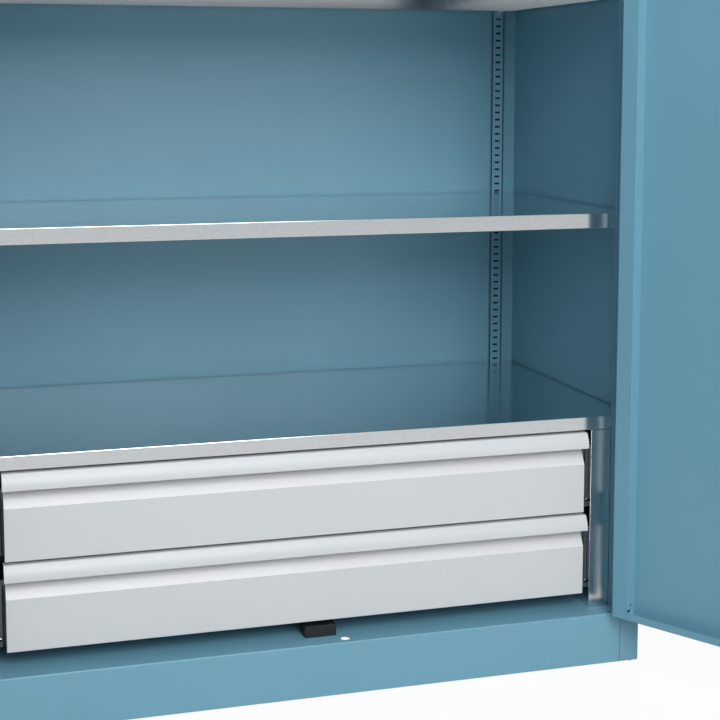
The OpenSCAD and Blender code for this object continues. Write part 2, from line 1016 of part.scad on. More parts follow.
module drawer_grip(base) {
    color(drawer_grey)
        translate([0, 0, base])
            drawn_across(-drawer_half - grip_over, drawer_half + grip_over)
                grip_profile();
}

module drawer_box(base) {
    bottom = base + box_up;
    inner = drawer_half - box_t;
    color(zinc)
        difference() {
            span_box([-drawer_half, drawer_half], [front_back, front_back + box_len], [bottom, bottom + box_h]);
            span_box([-inner, inner], [front_back + box_t, front_back + box_len - box_t],
                [bottom + box_t, bottom + box_h + cut_over]);
        }
}

base_1 = floor_z + drawer_base;
base_2 = base_1 + drawer_pitch;

module drawer_1_outer_runners() { runner_pair(base_1, 0, 0) outer_section(); }
module drawer_1_middle_runners() { runner_pair(base_1, middle_end, middle_end) middle_section(); }
module drawer_1_inner_runners() { inner_runners(base_1); }
module drawer_1_box() { drawer_box(base_1); }
module drawer_1_front() { drawer_front(base_1); }
module drawer_1_grip() { drawer_grip(base_1); }
module drawer_2_outer_runners() { runner_pair(base_2, 0, 0) outer_section(); }
module drawer_2_middle_runners() { runner_pair(base_2, middle_end, middle_end) middle_section(); }
module drawer_2_inner_runners() { inner_runners(base_2); }
module drawer_2_box() { drawer_box(base_2); }
module drawer_2_front() { drawer_front(base_2); }
module drawer_2_grip() { drawer_grip(base_2); }

module bottom_stop_block() {
    color(black_plastic)
        span_box([stop_left, stop_left + stop_w], [stop_depth, stop_depth + stop_len], [floor_z, floor_z + stop_h]);
}

module top_stop_block() {
    color(black_plastic)
        span_box([stop_left, stop_left + stop_w], [stop_depth, stop_depth + top_stop_len],
            [ceiling_z - stop_h, ceiling_z]);
}

// Frame halves of the hinges on the right, below each washer
module frame_hinges() {
    color(paint_blue)
        for (z = hinge_levels)
            difference() {
                union() {
                    upright(pivot[0], -pivot_out, [z - knuckle_h, z], barrel_r);
                    side_box([post_w, post_w + leaf_t], [-pivot_out, leaf_d], [z - knuckle_h, z]);
                }
                upright(pivot[0], -pivot_out, [z - knuckle_h - cut_over, z + cut_over], pin_r);
            }
}

// Door halves of the hinges on the closed right door, above each washer
module door_hinges() {
    foot = washer_t + knuckle_play;
    color(paint_blue)
        for (z = hinge_levels)
            difference() {
                union() {
                    upright(pivot[0], -pivot_out, [z + foot, z + foot + knuckle_h], barrel_r);
                    side_box([post_w + hinge_gap - leaf_t, post_w + hinge_gap], [-pivot_out, leaf_d],
                        [z + foot, z + foot + knuckle_h]);
                }
                upright(pivot[0], -pivot_out, [z, z + 2 * knuckle_h], pin_r + run_play);
            }
}

module hinge_pins() {
    color(steel)
        for (z = hinge_levels)
            upright(pivot[0], -pivot_out, [z - knuckle_h, z + knuckle_h], pin_r);
}

module left_frame_hinges() { mirrored() frame_hinges(); }
module right_frame_hinges() { frame_hinges(); }
module left_hinge_pins() { mirrored() hinge_pins(); }
module right_hinge_pins() { hinge_pins(); }
module left_door_hinges() { on_left_door() door_hinges(); }
module right_door_hinges() { on_right_door() door_hinges(); }

module hinge_washers() {
    color(steel)
        both_sides()
            for (z = hinge_levels)
                difference() {
                    upright(pivot[0], -pivot_out, [z, z + washer_t], barrel_r);
                    upright(pivot[0], -pivot_out, [z - cut_over, z + washer_t + cut_over], pin_r);
                }
}

// A closed right door, folded at all its edges, with box sections along its sides
module door_pan() {
    height = [door_bottom, door_top];
    hinge_in = door_out - hinge_lip;
    free_in = door_in + free_lip;
    lip_depth = [door_d - door_t, door_d];
    difference() {
        union() {
            span_box([door_in, door_out], [0, door_t], height);
            span_box([door_out - door_t, door_out], [0, door_d], height);
            span_box([hinge_in, door_out], lip_depth, height);
            span_box([hinge_in, hinge_in + door_t], [0, door_d], height);
            span_box([door_in, door_in + door_t], [0, door_d], height);
            span_box([door_in, free_in], lip_depth, height);
            span_box([free_in - door_t, free_in], [0, door_d], height);
            span_box([door_in, door_out], [0, door_d], [door_bottom, door_bottom + door_t]);
            span_box([door_in, door_out], [0, door_d], [door_top - door_t, door_top]);
            span_box([free_in, hinge_in], lip_depth, [door_bottom, door_bottom + end_lip]);
            span_box([free_in, hinge_in], lip_depth, [door_top - end_lip, door_top]);
        }
        for (z = [door_bottom + weep_up, door_top - weep_up])
            translate([hinge_in - cut_over, at_depth(door_d / 2), z])
                rotate([0, 90, 0])
                    cylinder(h = 3 * cut_over, r = weep_d / 2);
        for (z = [door_bottom + end_lip, door_top - end_lip - notch_h])
            span_box([hinge_in - cut_over, hinge_in + door_t + cut_over / 2],
                [door_d - door_t - notch_d, door_d - door_t], [z, z + notch_h]);
    }
}

// A hat section on the inside of the closed right door
module door_stiffener() {
    middle = (door_in + door_out) / 2;
    half = stiffener_w / 2;
    height = [door_bottom + stiffener_end, door_top - stiffener_end];
    color(paint_blue)
        difference() {
            span_box([middle - half, middle + half], [door_t, door_t + stiffener_d], height);
            span_box([middle - half + door_t, middle + half - door_t], [0, stiffener_d],
                [height[0] - cut_over, height[1] + cut_over]);
        }
}

module left_door_panel() {
    color(paint_blue)
        on_left_door()
            door_pan();
}

module left_door_stiffener() {
    on_left_door()
        door_stiffener();
}

// The strip that reaches behind the right door's edge, drawn on the mirrored left door
module overlap_strip() {
    step = door_d + overlap_play;
    height = [door_bottom + end_lip + tab_clear, door_top - end_lip - tab_clear];
    tab = [-overlap_reach + tab_end, -tab_end];
    seat = [door_in + 2 * door_t, door_in + free_lip - door_t];
    tab_depth = [step, stop_depth - tab_play];
    low_tab = [door_bottom + tab_clear, door_bottom + tab_clear + tab_h];
    high_tab = [door_top - tab_clear - tab_h, door_top - tab_clear];
    color(paint_blue)
        on_left_door() {
            span_box(seat, [door_d, step + overlap_t], height);
            span_box([-overlap_reach, seat[0]], [step, step + overlap_t], height);
            for (t = [[low_tab[0], height[0]], [height[1], high_tab[1]]])
                span_box(tab, [step, step + overlap_t], t);
            for (t = [low_tab, high_tab])
                span_box(tab, tab_depth, t);
        }
}

module right_door_panel() {
    color(paint_blue)
        on_right_door()
            difference() {
                door_pan();
                upright(rod_x, rod_depth, [door_bottom - cut_over, door_bottom + door_t + cut_over],
                    rod_r + rod_gap);
                upright(upper_rod_x, rod_depth, [door_top - door_t - cut_over, door_top + cut_over],
                    rod_r + rod_gap);
                crosswise(pinion_x, handle_z, [-cut_over, door_t + cut_over], journal_r + rod_gap);
                crosswise(pinion_x, lock_z, [-cut_over, door_t + cut_over], lock_r + barrel_gap);
                for (z = lock_screw_levels())
                    crosswise(pinion_x, z, [-cut_over, door_t + cut_over], screw_d / 2);
            }
}

module right_door_stiffener() {
    on_right_door()
        door_stiffener();
}

// Guides for the rods on the closed right door
module rod_guides() {
    end_clear = 34;
    lock_clear = 250;
    guide_wall = 3.5;
    half = rod_r + guide_wall;
    lower = [door_bottom + end_clear, handle_z - lock_clear];
    upper = [handle_z + lock_clear, door_top - end_clear - guide_h];
    color(nylon)
        on_right_door()
            for (g = [[rod_x, lower[0]], [rod_x, lower[1]], [upper_rod_x, upper[0]], [upper_rod_x, upper[1]]])
                difference() {
                    span_box([g[0] - half, g[0] + half], [door_t, door_d - door_t], [g[1], g[1] + guide_h]);
                    upright(g[0], rod_depth, [g[1] - cut_over, g[1] + guide_h + cut_over], rod_r + run_play);
                }
}

function lock_screw_levels() = [handle_z - case_half - case_tab / 2, handle_z + case_half + case_tab / 2];

module lock_case() {
    tabs = [handle_z - case_half - case_tab, handle_z + case_half + case_tab];
    level = [handle_z - case_half, handle_z + case_half];
    inner = [case_inner + case_wall, case_side - case_wall];
    color(zinc)
        on_right_door()
            difference() {
                union() {
                    difference() {
                        span_box([case_inner, case_side], [door_t, case_back], level);
                        span_box(inner, [door_t + case_wall, case_back - case_wall],
                            [level[0] - cut_over, level[1] + cut_over]);
                    }
                    span_box([upper_rod_x + rod_r + rod_gap, rod_x - rod_r - rod_gap], [door_t, door_t + case_wall], tabs);
                }
                crosswise(pinion_x, handle_z, [0, door_d], journal_r + run_play);
                for (z = lock_screw_levels())
                    crosswise(pinion_x, z, [0, door_d], screw_d / 2);
                crosswise(pinion_x, lock_z, [0, door_d], lock_r + barrel_gap);
            }
}

module lock_screws() {
    face = door_t + case_wall;
    color(steel)
        on_right_door()
            for (z = lock_screw_levels()) {
                crosswise(pinion_x, z, [0, face], screw_d / 2);
                crosswise(pinion_x, z, [face, face + screw_head_h], screw_head_d / 2);
            }
}

module handle_plate() {
    half = plate_w / 2;
    low = handle_z - plate_below;
    high = lock_z + plate_above;
    color(black_plastic)
        on_right_door()
            difference() {
                union() {
                    span_box([pinion_x - half, pinion_x + half], [-plate_t, 0], [low, high]);
                    crosswise(pinion_x, low, [-plate_t, 0], half);
                    crosswise(pinion_x, high, [-plate_t, 0], half);
                }
                crosswise(pinion_x, handle_z, [-plate_t - cut_over, cut_over], hub_r + run_play);
                crosswise(pinion_x, lock_z, [-plate_t - cut_over, cut_over], lock_r + run_play);
            }
}

// A square bar from front to back
module square_bar(w0, w1) {
    translate([pinion_x, 0, handle_z])
        drawn_back(w0, w1)
            square(spindle_w, center = true);
}

module handle() {
    lever = [-lever_out, -lever_in];
    half = lever_h / 2;
    color(black_plastic)
        on_right_door()
            difference() {
                union() {
                    crosswise(pinion_x, handle_z, [-lever_out, -hub_gap], hub_r);
                    crosswise(pinion_x, handle_z, lever, half + hub_collar);
                    span_box([pinion_x, pinion_x + lever_len - half], lever, [handle_z - half, handle_z + half]);
                    crosswise(pinion_x + lever_len - half, handle_z, lever, half);
                }
                square_bar(-lever_in, 0);
            }
}

module spindle() {
    color(steel)
        on_right_door()
            square_bar(-lever_in, case_back - spindle_gap);
}

// Involute outline of the pinion, with a gap at each side
function involute(a) = tan(a) * 180 / PI - a;

function tooth_angle(r, base_r) =
    let (
        pitch_half = 90 / gear_teeth - gear_lash / 4 / pinion_r * 180 / PI,
        a = r > base_r ? acos(base_r / r) : 0
    )
    pitch_half + involute(pressure_angle) - involute(a);

function pinion_points() =
    let (
        base_r = pinion_r * cos(pressure_angle),
        root_r = pinion_r - tooth_ded,
        tip_r = pinion_r + tooth_add,
        radii = [root_r, base_r, (base_r + pinion_r) / 2, pinion_r, (pinion_r + tip_r) / 2, tip_r]
    )
    [for (i = [0 : gear_teeth - 1])
        let (middle = (i + 0.5) * 360 / gear_teeth)
        for (side = [-1, 1])
            for (k = [0 : len(radii) - 1])
                let (
                    r = radii[side < 0 ? k : len(radii) - 1 - k],
                    a = middle + side * tooth_angle(r, base_r)
                )
                [r * cos(a), r * sin(a)]];

module pinion() {
    middle = rod_depth;
    color(steel)
        on_right_door()
            difference() {
                union() {
                    translate([pinion_x, 0, handle_z])
                        drawn_back(middle - gear_depth / 2, middle + gear_depth / 2)
                            polygon(pinion_points());
                    crosswise(pinion_x, handle_z, [door_t + spindle_gap, case_back], journal_r);
                }
                square_bar(0, door_d);
            }
}

// Teeth of a rack that points to the left, with one tooth at level 0
module rack_teeth(first, last) {
    pitch = PI * gear_m;
    half = pitch / 4 - gear_lash / 4;
    tip = half - tooth_add * tan(pressure_angle);
    root = half + tooth_ded * tan(pressure_angle);
    for (i = [first : last])
        polygon([
            [-tooth_add, i * pitch - tip],
            [tooth_ded + rack_root, i * pitch - root],
            [tooth_ded + rack_root, i * pitch + root],
            [-tooth_add, i * pitch + tip]
        ]);
}

// The lower rod, drawn from its tip at the bottom up to its rack
module rod_and_rack(tip_z) {
    pitch = PI * gear_m;
    pitch_line = pinion_x + pinion_r;
    first = ceil((0.5 * pitch - rack_behind) / pitch);
    last = floor((rack_ahead - 0.5 * pitch) / pitch);
    body_x = [pitch_line + tooth_ded, rod_x + rod_r];
    join_z = handle_z - rack_behind - rack_join;
    upright(rod_x, rod_depth, [tip_z, join_z], rod_r);
    span_box(body_x, [rod_depth - gear_depth / 2, rod_depth + gear_depth / 2],
        [join_z - rack_tail, handle_z + rack_ahead]);
    translate([pitch_line, 0, handle_z])
        drawn_back(rod_depth - gear_depth / 2, rod_depth + gear_depth / 2)
            rack_teeth(first, last);
}

module lower_rod() {
    color(steel)
        on_right_door()
            rod_and_rack(door_bottom + rod_tip);
}

module upper_rod() {
    color(steel)
        on_right_door()
            translate([pinion_x, 0, handle_z])
                rotate([0, 180, 0])
                    translate([-pinion_x, 0, -handle_z])
                        rod_and_rack(2 * handle_z - door_top + rod_tip);
}

module lock_barrel() {
    color(steel)
        on_right_door()
            difference() {
                crosswise(pinion_x, lock_z, [barrel_face, door_t + barrel_back], lock_r);
                key_blade();
            }
}

module key_blade() {
    translate([pinion_x, 0, lock_z])
        drawn_back(barrel_face - key_stop, door_t + key_reach)
            square([key_t, lock_r], center = true);
}

module key() {
    bow_w = barrel_face - key_stop - bow_r;
    color(steel)
        on_right_door() {
            key_blade();
            difference() {
                translate([pinion_x - key_t / 2, at_depth(bow_w), lock_z])
                    rotate([0, 90, 0])
                        cylinder(h = key_t, r = bow_r);
                translate([pinion_x - key_t, at_depth(bow_w - bow_r / 2), lock_z])
                    rotate([0, 90, 0])
                        cylinder(h = 2 * key_t, r = key_hole_r);
            }
        }
}

left_side_panel();
right_side_panel();
back_panel();
top_panel();
floor_panel();
foot_plates();
levelling_feet();
rear_left_strip();
rear_right_strip();
front_left_strip();
front_right_strip();
cover_shelf();
shelf_1();
shelf_2();
shelf_3();
shelf_1_clips();
shelf_2_clips();
shelf_3_clips();
left_drawer_housing();
right_drawer_housing();
housing_screws();
drawer_1_outer_runners();
drawer_1_middle_runners();
drawer_1_inner_runners();
drawer_1_box();
drawer_1_front();
drawer_1_grip();
drawer_2_outer_runners();
drawer_2_middle_runners();
drawer_2_inner_runners();
drawer_2_box();
drawer_2_front();
drawer_2_grip();
bottom_stop_block();
top_stop_block();
left_frame_hinges();
right_frame_hinges();
left_hinge_pins();
right_hinge_pins();
hinge_washers();
left_door_panel();
left_door_stiffener();
left_door_hinges();
overlap_strip();
right_door_panel();
right_door_stiffener();
right_door_hinges();
rod_guides();
lock_case();
lock_screws();
handle_plate();
handle();
spindle();
pinion();
lock_barrel();
key();
upper_rod();
lower_rod();
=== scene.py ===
import json
from math import cos, radians, sin

import bmesh
import bpy
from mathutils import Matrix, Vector


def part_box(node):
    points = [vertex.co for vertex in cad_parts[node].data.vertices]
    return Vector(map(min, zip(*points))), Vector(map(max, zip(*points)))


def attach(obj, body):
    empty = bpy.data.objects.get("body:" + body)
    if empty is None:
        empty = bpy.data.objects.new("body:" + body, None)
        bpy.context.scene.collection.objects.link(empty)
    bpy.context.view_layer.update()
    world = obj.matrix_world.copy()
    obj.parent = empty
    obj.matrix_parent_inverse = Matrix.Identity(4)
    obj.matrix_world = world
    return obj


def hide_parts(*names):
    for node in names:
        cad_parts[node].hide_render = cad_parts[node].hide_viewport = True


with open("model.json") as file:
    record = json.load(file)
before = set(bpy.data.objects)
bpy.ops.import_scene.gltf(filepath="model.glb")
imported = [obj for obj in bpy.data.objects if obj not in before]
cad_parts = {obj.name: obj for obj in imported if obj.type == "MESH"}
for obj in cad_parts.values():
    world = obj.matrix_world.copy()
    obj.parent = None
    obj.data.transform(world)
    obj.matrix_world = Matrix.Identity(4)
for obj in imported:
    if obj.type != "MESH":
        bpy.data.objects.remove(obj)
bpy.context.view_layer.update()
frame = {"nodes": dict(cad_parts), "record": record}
print("Loaded", len(frame["nodes"]), "nodes")

mm = 0.001
record = frame["record"]
slotOf = {s["node"]: s["material_slot"] for s in record["subparts"]}
bodyOf = {n: b for b, nodes in record["behaviour"]["bodies"].items() for n in nodes}


def tone(red, green, blue):
    # A screen colour of 0 to 255 as the shader's own numbers
    def one(c):
        c = c / 255
        return c / 12.92 if c <= 0.04045 else ((c + 0.055) / 1.055) ** 2.4
    return (one(red), one(green), one(blue), 1)


# Shader maths: a socket that takes part in expressions
class Socket:
    def __init__(self, shader, link):
        self.shader = shader
        self.link = link

    def maths(self, operation, first, second):
        return self.shader.node("ShaderNodeMath", {"operation": operation}, {0: first, 1: second})

    def __add__(self, other):
        return self.maths("ADD", self, other)

    def __mul__(self, other):
        return self.maths("MULTIPLY", self, other)

    def __radd__(self, other):
        return self.maths("ADD", other, self)

    def __rsub__(self, other):
        return self.maths("SUBTRACT", other, self)

    def __rmul__(self, other):
        return self.maths("MULTIPLY", other, self)


class Shader:
    def __init__(self, name):
        self.material = bpy.data.materials.new(name)
        self.material.use_nodes = True
        self.nodes = self.material.node_tree.nodes
        self.surface = self.nodes["Principled BSDF"]

    def plug(self, target, value):
        if isinstance(value, Socket):
            self.material.node_tree.links.new(value.link, target)
        else:
            target.default_value = value

    def node(self, kind, settings, inputs, output=0):
        made = self.nodes.new(kind)
        for key, value in settings.items():
            setattr(made, key, value)
        for key, value in inputs.items():
            self.plug(made.inputs[key], value)
        return Socket(self, made.outputs[output])

    def set(self, values):
        for key, value in values.items():
            self.plug(self.surface.inputs[key], value)

    def place(self, scale=(1, 1, 1)):
        spot = self.node("ShaderNodeTexCoord", {}, {}, "Object")
        return self.node("ShaderNodeMapping", {}, {"Vector": spot, "Scale": scale})

    def noise(self, vector, scale, detail=2.0):
        return self.node("ShaderNodeTexNoise", {}, {"Vector": vector, "Scale": scale, "Detail": detail})

    # A mix of colours takes its factor at 0 and its colours at 6 and 7, and gives its colour at 2
    def mix(self, factor, first, second):
        return self.node("ShaderNodeMix", {"data_type": "RGBA"}, {0: factor, 6: first, 7: second}, 2)

    def bump(self, height, distance):
        return self.node("ShaderNodeBump", {}, {"Height": height, "Distance": distance, "Strength": 1.0})


# How much each pattern adds to the roughness
unevenness = {"cloud": 0.08, "flake": 0.01, "rolled": 0.02, "grain": 0.1, "marks": 0.12}


# Powder coat: fine orange peel and a little unevenness of gloss
def powderCoat(name, coat):
    shader = Shader(name)
    spot = shader.place()
    cloud = shader.noise(spot, coat["cloudScale"])
    peel = shader.noise(spot, coat["peelScale"], detail=1.0)
    shader.set({
        "Base Color": shader.mix(cloud, coat["colour"], coat["second"]),
        "Roughness": coat["roughness"] + unevenness["cloud"] * cloud,
        "Specular IOR Level": coat["specular"],
        "Normal": shader.bump(peel, coat["peelDepth"]),
    })
    return shader.material


# Galvanised sheet: pale metal with faint spangle and rolling lines
def galvanised(name, sheet):
    shader = Shader(name)
    spot = shader.place()
    flakes = shader.node("ShaderNodeTexVoronoi", {}, {"Vector": spot, "Scale": sheet["flakeScale"]}, 1)
    flake = shader.node("ShaderNodeRGBToBW", {}, {"Color": flakes})
    rolled = shader.noise(shader.place(sheet["rollStretch"]), sheet["rollScale"], detail=3.0)
    shader.set({
        "Base Color": shader.mix(flake, sheet["colour"], sheet["second"]),
        "Roughness": sheet["roughness"] + unevenness["flake"] * flake + unevenness["rolled"] * rolled,
        "Metallic": 1.0,
        "Normal": shader.bump(rolled, sheet["rollDepth"]),
    })
    return shader.material


# Moulded plastic with a fine grain
def moulded(name, plastic):
    shader = Shader(name)
    grain = shader.noise(shader.place(), plastic["grainScale"])
    shader.set({
        "Base Color": shader.mix(grain, plastic["colour"], plastic["second"]),
        "Roughness": plastic["roughness"] + unevenness["grain"] * grain,
        "Normal": shader.bump(grain, plastic["grainDepth"]),
    })
    return shader.material


# Turned or drawn steel with marks along its length
def drawnSteel(name, steel):
    shader = Shader(name)
    marks = shader.noise(shader.place(steel["stretch"]), steel["markScale"])
    shader.set({
        "Base Color": shader.mix(marks, steel["colour"], steel["second"]),
        "Roughness": steel["roughness"] + unevenness["marks"] * marks,
        "Metallic": 1.0,
        "Normal": shader.bump(marks, steel["markDepth"]),
    })
    return shader.material


powderGrain = {"specular": 0.5, "cloudScale": 6.0, "peelScale": 900.0, "peelDepth": 0.00002}
pastelCoat = {**powderGrain, "colour": tone(108, 157, 177), "second": tone(103, 152, 172), "roughness": 0.36}
lightCoat = {**powderGrain, "colour": tone(196, 199, 201), "second": tone(193, 196, 198), "roughness": 0.34}
# Painted highlight: a lighter grey for the slope of the drawer fronts' finger recess, where more light falls
slopeHighlightCoat = {**powderGrain, "colour": tone(208, 210, 212), "second": tone(205, 207, 209), "roughness": 0.34}
# Painted shade: a near-black blue for a thin sheet inside the slotted strips, standing for their unlit inside
stripShadeCoat = {
    **powderGrain, "colour": tone(22, 34, 42), "second": tone(20, 31, 39), "roughness": 0.6, "specular": 0.2,
}
zincGrain = {"flakeScale": 160.0, "rollScale": 12.0, "rollDepth": 0.00003}
zincSheet = {
    **zincGrain, "colour": tone(236, 240, 242), "second": tone(230, 235, 238), "roughness": 0.14,
    "rollStretch": (1, 24, 24),
}
housingSheet = {
    **zincGrain, "colour": tone(222, 227, 230), "second": tone(216, 222, 226), "roughness": 0.18,
    "rollStretch": (24, 24, 1),
}
boxSheet = {
    **zincGrain, "colour": tone(208, 213, 216), "second": tone(200, 206, 210), "roughness": 0.34,
    "rollStretch": (1, 24, 24),
}
runnerSheet = {
    **zincGrain, "colour": tone(98, 106, 112), "second": tone(92, 100, 106), "roughness": 0.4,
    "rollStretch": (24, 1, 24),
}
blackMoulded = {
    "colour": tone(20, 21, 22), "second": tone(25, 26, 27), "roughness": 0.5,
    "grainScale": 1400.0, "grainDepth": 0.00004,
}
whiteMoulded = {
    "colour": tone(232, 232, 228), "second": tone(226, 226, 221), "roughness": 0.4,
    "grainScale": 1400.0, "grainDepth": 0.00002,
}
platedSteel = {
    "colour": tone(190, 192, 194), "second": tone(172, 175, 178), "roughness": 0.26,
    "stretch": (60, 60, 2), "markScale": 8.0, "markDepth": 0.00003,
}
polishedNickel = {
    "colour": tone(222, 220, 214), "second": tone(214, 212, 206), "roughness": 0.1,
    "stretch": (20, 20, 20), "markScale": 20.0, "markDepth": 0.00001,
}
finishes = {
    "painted_blue": powderCoat("pastelBlueCoat", pastelCoat),
    "painted_grey": powderCoat("lightGreyCoat", lightCoat),
    "zinc": galvanised("galvanisedSheet", zincSheet),
    "steel": drawnSteel("platedSteel", platedSteel),
    "chrome": drawnSteel("polishedNickel", polishedNickel),
    "black_plastic": moulded("blackPlastic", blackMoulded),
    "white_nylon": moulded("whiteNylon", whiteMoulded),
}
housingFinish = galvanised("housingSheet", housingSheet)
# The painted-highlight coat for the drawer fronts' recess slope
slopeHighlightFinish = powderCoat("slopeHighlightCoat", slopeHighlightCoat)
boxFinish = galvanised("boxSheet", boxSheet)
runnerFinish = galvanised("runnerSheet", runnerSheet)
# The painted-shade coat for the thin sheet inside the slotted strips
stripShadeFinish = powderCoat("stripShadeCoat", stripShadeCoat)
print("Materials done")


# A piece made from a node's own shape, its folds and cut edges rounded as bent and sheared sheet is
softening = {
    "sheet": {"thickness": 2.0 * mm, "foldWidth": 0.9 * mm, "foldSegments": 3, "cutWidth": 0.25 * mm},
    "moulding": {"width": 0.8 * mm, "segments": 3},
    "weldWithin": 0.01 * mm, "levelWithin": 0.5, "sharpFrom": 40, "creaseFrom": 50,
    "smoothUpTo": 20 * (10 * mm) ** 2,
}


def cleanCopy(node):
    mesh = bmesh.new()
    mesh.from_mesh(frame["nodes"][node].data)
    bmesh.ops.remove_doubles(mesh, verts=mesh.verts, dist=softening["weldWithin"])
    level = radians(softening["levelWithin"])
    bmesh.ops.dissolve_limit(mesh, angle_limit=level, verts=mesh.verts, edges=mesh.edges)
    return mesh


def roundEdges(mesh, edges, width, segments):
    if edges:
        bmesh.ops.bevel(mesh, geom=edges, offset=width, offset_type="OFFSET", segments=segments, profile=0.5,
                        affect="EDGES", clamp_overlap=True, material=-1)


def sharpEdges(mesh):
    return [e for e in mesh.edges
            if len(e.link_faces) == 2 and e.calc_face_angle() > radians(softening["sharpFrom"])]


# A fold is an outer edge between two broad faces, and a cut edge borders the sheet's own thickness
def isFold(edge):
    thin = softening["sheet"]["thickness"]
    long = edge.calc_length() > 2 * thin
    return edge.is_convex and long and all(f.calc_area() / edge.calc_length() > thin for f in edge.link_faces)


# The piece that stands for a node. Its broad faces are shaded flat, so that a hole leaves no streak on them
def finished(mesh, name, body, slot, replaced, finish=None):
    data = bpy.data.meshes.new(name)
    mesh.to_mesh(data)
    mesh.free()
    data.set_sharp_from_angle(angle=radians(softening["creaseFrom"]))
    for face in data.polygons:
        face.use_smooth = face.area < softening["smoothUpTo"]
    data.materials.append(finish or finishes[slot])
    piece = bpy.data.objects.new(name, data)
    bpy.context.scene.collection.objects.link(piece)
    weighted = piece.modifiers.new("Flat faces", "WEIGHTED_NORMAL")
    weighted.keep_sharp = True
    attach(piece, body)
    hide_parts(*replaced)
    return piece


def softenSheet(node, finish=None):
    rule = softening["sheet"]
    mesh = cleanCopy(node)
    roundEdges(mesh, [e for e in sharpEdges(mesh) if isFold(e)], rule["foldWidth"], rule["foldSegments"])
    roundEdges(mesh, [e for e in sharpEdges(mesh) if e.is_convex], rule["cutWidth"], 1)
    return finished(mesh, node + "_finished", bodyOf[node], slotOf[node], (node,), finish)


# A face of the finger recess's slope looks forward and up by at least this much, and gets the painted highlight
recessSlope = {"forward": 0.5, "up": 0.3}


# A drawer front, with a lighter coat on its finger recess's slope: a painted highlight where the upward slope catches
# more light
def softenFront(node):
    front = softenSheet(node)
    front.data.materials.append(slopeHighlightFinish)
    # Faces of the slope take the lighter coat, a painted highlight
    for face in front.data.polygons:
        if -face.normal.y > recessSlope["forward"] and face.normal.z > recessSlope["up"]:
            face.material_index = 1


def softenMoulding(node):
    rule = softening["moulding"]
    mesh = cleanCopy(node)
    roundEdges(mesh, [e for e in sharpEdges(mesh) if e.is_convex], rule["width"], rule["segments"])
    finished(mesh, node + "_finished", bodyOf[node], slotOf[node], (node,))


for node, shown in frame["nodes"].items():
    for i in range(len(shown.material_slots)):
        shown.material_slots[i].material = finishes[slotOf[node]]

foldedSheets = [
    "left_side_panel", "right_side_panel", "top_panel", "floor_panel", "cover_shelf", "shelf_1", "shelf_2", "shelf_3",
    "left_door_panel", "right_door_panel",
    "left_door_stiffener", "right_door_stiffener", "overlap_strip",
    "drawer_1_grip", "drawer_2_grip",
]
mouldings = ["bottom_stop_block", "top_stop_block", "handle_plate", "handle", "rod_guides"]
duller = {
    "left_drawer_housing": housingFinish, "right_drawer_housing": housingFinish,
    "drawer_1_box": boxFinish, "drawer_2_box": boxFinish,
    "drawer_1_inner_runners": runnerFinish, "drawer_2_inner_runners": runnerFinish,
}
for node in foldedSheets:
    softenSheet(node)
for node in mouldings:
    softenMoulding(node)
for node in ("drawer_1_front", "drawer_2_front"):
    softenFront(node)
for node, finish in duller.items():
    softenSheet(node, finish)


# A slotted strip with a thin dark sheet inside it, painted shade for its unlit inside, seen through its slots and
# down its grooves
stripShade = {"strips": ["rear_left_strip", "rear_right_strip", "front_left_strip", "front_right_strip"],
          "inset": 1.2 * mm, "standOut": 1.05 * mm, "thickness": 0.1 * mm}


def addStripShade(node):
    low, high = [Vector(c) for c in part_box(node)]
    size = high - low
    middle = (low + high) / 2
    out = 1 if size.x > size.y else 0
    onPositiveSide = middle[out] > 0
    size -= Vector((1, 1, 1)) * 2 * stripShade["inset"]
    size[out] = stripShade["thickness"]
    middle[out] = high[out] - stripShade["standOut"] if onPositiveSide else low[out] + stripShade["standOut"]
    mesh = cleanCopy(node)
    roundEdges(mesh, [e for e in sharpEdges(mesh) if e.is_convex], softening["sheet"]["cutWidth"], 1)
    sheetFaces = set(mesh.faces)
    # A thin dark sheet inside the strip, painted shade for its unlit inside
    made = bmesh.ops.create_cube(mesh, size=1.0)["verts"]
    bmesh.ops.scale(mesh, vec=size, verts=made)
    bmesh.ops.translate(mesh, vec=middle, verts=made)
    # The added sheet takes the painted-shade coat
    for face in set(mesh.faces) - sheetFaces:
        face.material_index = 1
    strip = finished(mesh, node + "_finished", bodyOf[node], slotOf[node], (node,))
    strip.data.materials.append(stripShadeFinish)


for node in stripShade["strips"]:
    addStripShade(node)
print("Pieces done")

# A floor and a sky that the camera sees as white, and that light and mirror less than they show
studio = {
    "floorSize": 14, "floorTone": tone(196, 196, 196), "floorRoughness": 0.9, "floorSpecular": 0.1,
    "white": 0.96, "mirroredTone": 0.67,
    "skyStrength": 0.2, "glossStrength": 0.3,
}


def stageFloor():
    mesh = bmesh.new()
    bmesh.ops.create_grid(mesh, x_segments=1, y_segments=1, size=studio["floorSize"])
    data = bpy.data.meshes.new("studioFloor")
    mesh.to_mesh(data)
    mesh.free()
    floor = bpy.data.objects.new("studioFloor", data)
    bpy.context.scene.collection.objects.link(floor)
    shader = Shader("studioFloor")
    shader.set({
        "Base Color": studio["floorTone"], "Roughness": studio["floorRoughness"],
        "Specular IOR Level": studio["floorSpecular"],
    })
    path = "ShaderNodeLightPath"
    seen = shader.node(path, {}, {}, "Is Camera Ray")
    mirrored = shader.node(path, {}, {}, "Is Glossy Ray")
    through = shader.node(path, {}, {}, "Is Transmission Ray")
    white = shader.node("ShaderNodeEmission", {}, {
        "Color": (1, 1, 1, 1), "Strength": 1.0 - mirrored * (1 - studio["mirroredTone"]),
    })
    plain = Socket(shader, shader.surface.outputs[0])
    share = (seen + mirrored + through) * studio["white"]
    mixed = shader.node("ShaderNodeMixShader", {}, {0: share, 1: plain, 2: white})
    shader.plug(shader.nodes["Material Output"].inputs["Surface"], mixed)
    data.materials.append(shader.material)


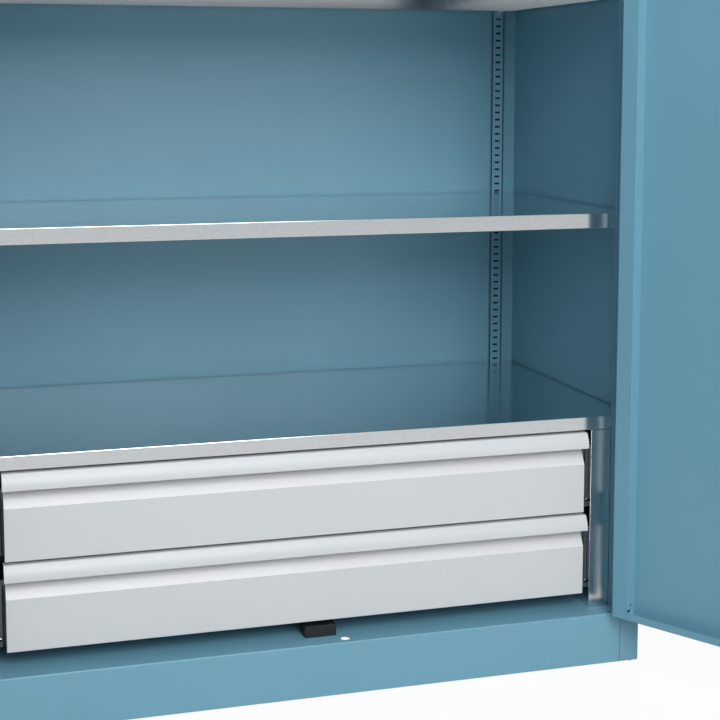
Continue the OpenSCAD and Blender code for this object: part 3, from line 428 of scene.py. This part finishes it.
def stageSky():
    world = bpy.data.worlds.new("studioSky")
    world.use_nodes = True
    bpy.context.scene.world = world
    nodes = world.node_tree.nodes
    links = world.node_tree.links
    light = nodes["Background"]
    sheen = nodes.new("ShaderNodeBackground")
    white = nodes.new("ShaderNodeBackground")
    for glow, strength in ((light, studio["skyStrength"]), (sheen, studio["glossStrength"]), (white, 1)):
        glow.inputs["Color"].default_value = (1, 1, 1, 1)
        glow.inputs["Strength"].default_value = strength
    reflected = nodes.new("ShaderNodeMixShader")
    path = nodes.new("ShaderNodeLightPath")
    mixed = nodes.new("ShaderNodeMixShader")
    either = nodes.new("ShaderNodeMath")
    either.operation = "MAXIMUM"
    links.new(path.outputs["Is Camera Ray"], either.inputs[0])
    links.new(path.outputs["Is Transmission Ray"], either.inputs[1])
    links.new(either.outputs[0], mixed.inputs[0])
    links.new(path.outputs["Is Glossy Ray"], reflected.inputs[0])
    links.new(light.outputs[0], reflected.inputs[1])
    links.new(sheen.outputs[0], reflected.inputs[2])
    links.new(reflected.outputs[0], mixed.inputs[1])
    links.new(white.outputs[0], mixed.inputs[2])
    links.new(mixed.outputs[0], nodes["World Output"].inputs["Surface"])


# Soft boxes round the cabinet, by their azimuth from the front, in degrees
softBoxes = {
    "front": {"azimuth": 0, "elevation": 26, "power": 108, "mirrored": True},
    "low": {"azimuth": 18, "elevation": 6, "power": 34, "mirrored": False},
    "high": {"azimuth": 0, "elevation": 48, "power": 50, "mirrored": True},
    "left": {"azimuth": -32, "elevation": 18, "power": 14, "mirrored": False},
    "behindRight": {"azimuth": 145, "elevation": 30, "power": 90, "mirrored": False},
    "behindLeft": {"azimuth": -145, "elevation": 30, "power": 90, "mirrored": False},
}
boxRig = {"distance": 4.5, "centre": (0, 0, 0.6), "aim": (0.1, 0, 0.6), "size": 2.2}


def hangLight(name, box):
    lamp = bpy.data.lights.new(name, "AREA")
    lamp.energy = box["power"]
    lamp.size = boxRig["size"]
    held = bpy.data.objects.new(name, lamp)
    bpy.context.scene.collection.objects.link(held)
    held.visible_camera = False
    held.visible_glossy = box["mirrored"]
    turn, rise = radians(box["azimuth"]), radians(box["elevation"])
    out = Vector((sin(turn) * cos(rise), -cos(turn) * cos(rise), sin(rise)))
    held.location = Vector(boxRig["centre"]) + out * boxRig["distance"]
    held.rotation_euler = (Vector(boxRig["aim"]) - held.location).to_track_quat("-Z", "Y").to_euler()


lens = {
    "at": (-0.6424, -2.6526, 1.0288), "pan": -16.492, "pitch": -5.992, "length": 74.8, "sensor": 36,
    "shiftX": 0.0168, "shiftY": -0.16,
}


def setCamera():
    data = bpy.data.cameras.new("camera")
    data.lens = lens["length"]
    data.sensor_width = lens["sensor"]
    data.shift_x = lens["shiftX"]
    data.shift_y = lens["shiftY"]
    camera = bpy.data.objects.new("camera", data)
    bpy.context.scene.collection.objects.link(camera)
    camera.location = lens["at"]
    camera.rotation_euler = (radians(90 + lens["pitch"]), 0, radians(lens["pan"]))
    bpy.context.scene.camera = camera


stageFloor()
stageSky()
for name, box in softBoxes.items():
    hangLight(name, box)
setCamera()
bpy.context.scene.view_settings.view_transform = "Standard"
print("Light and camera done")
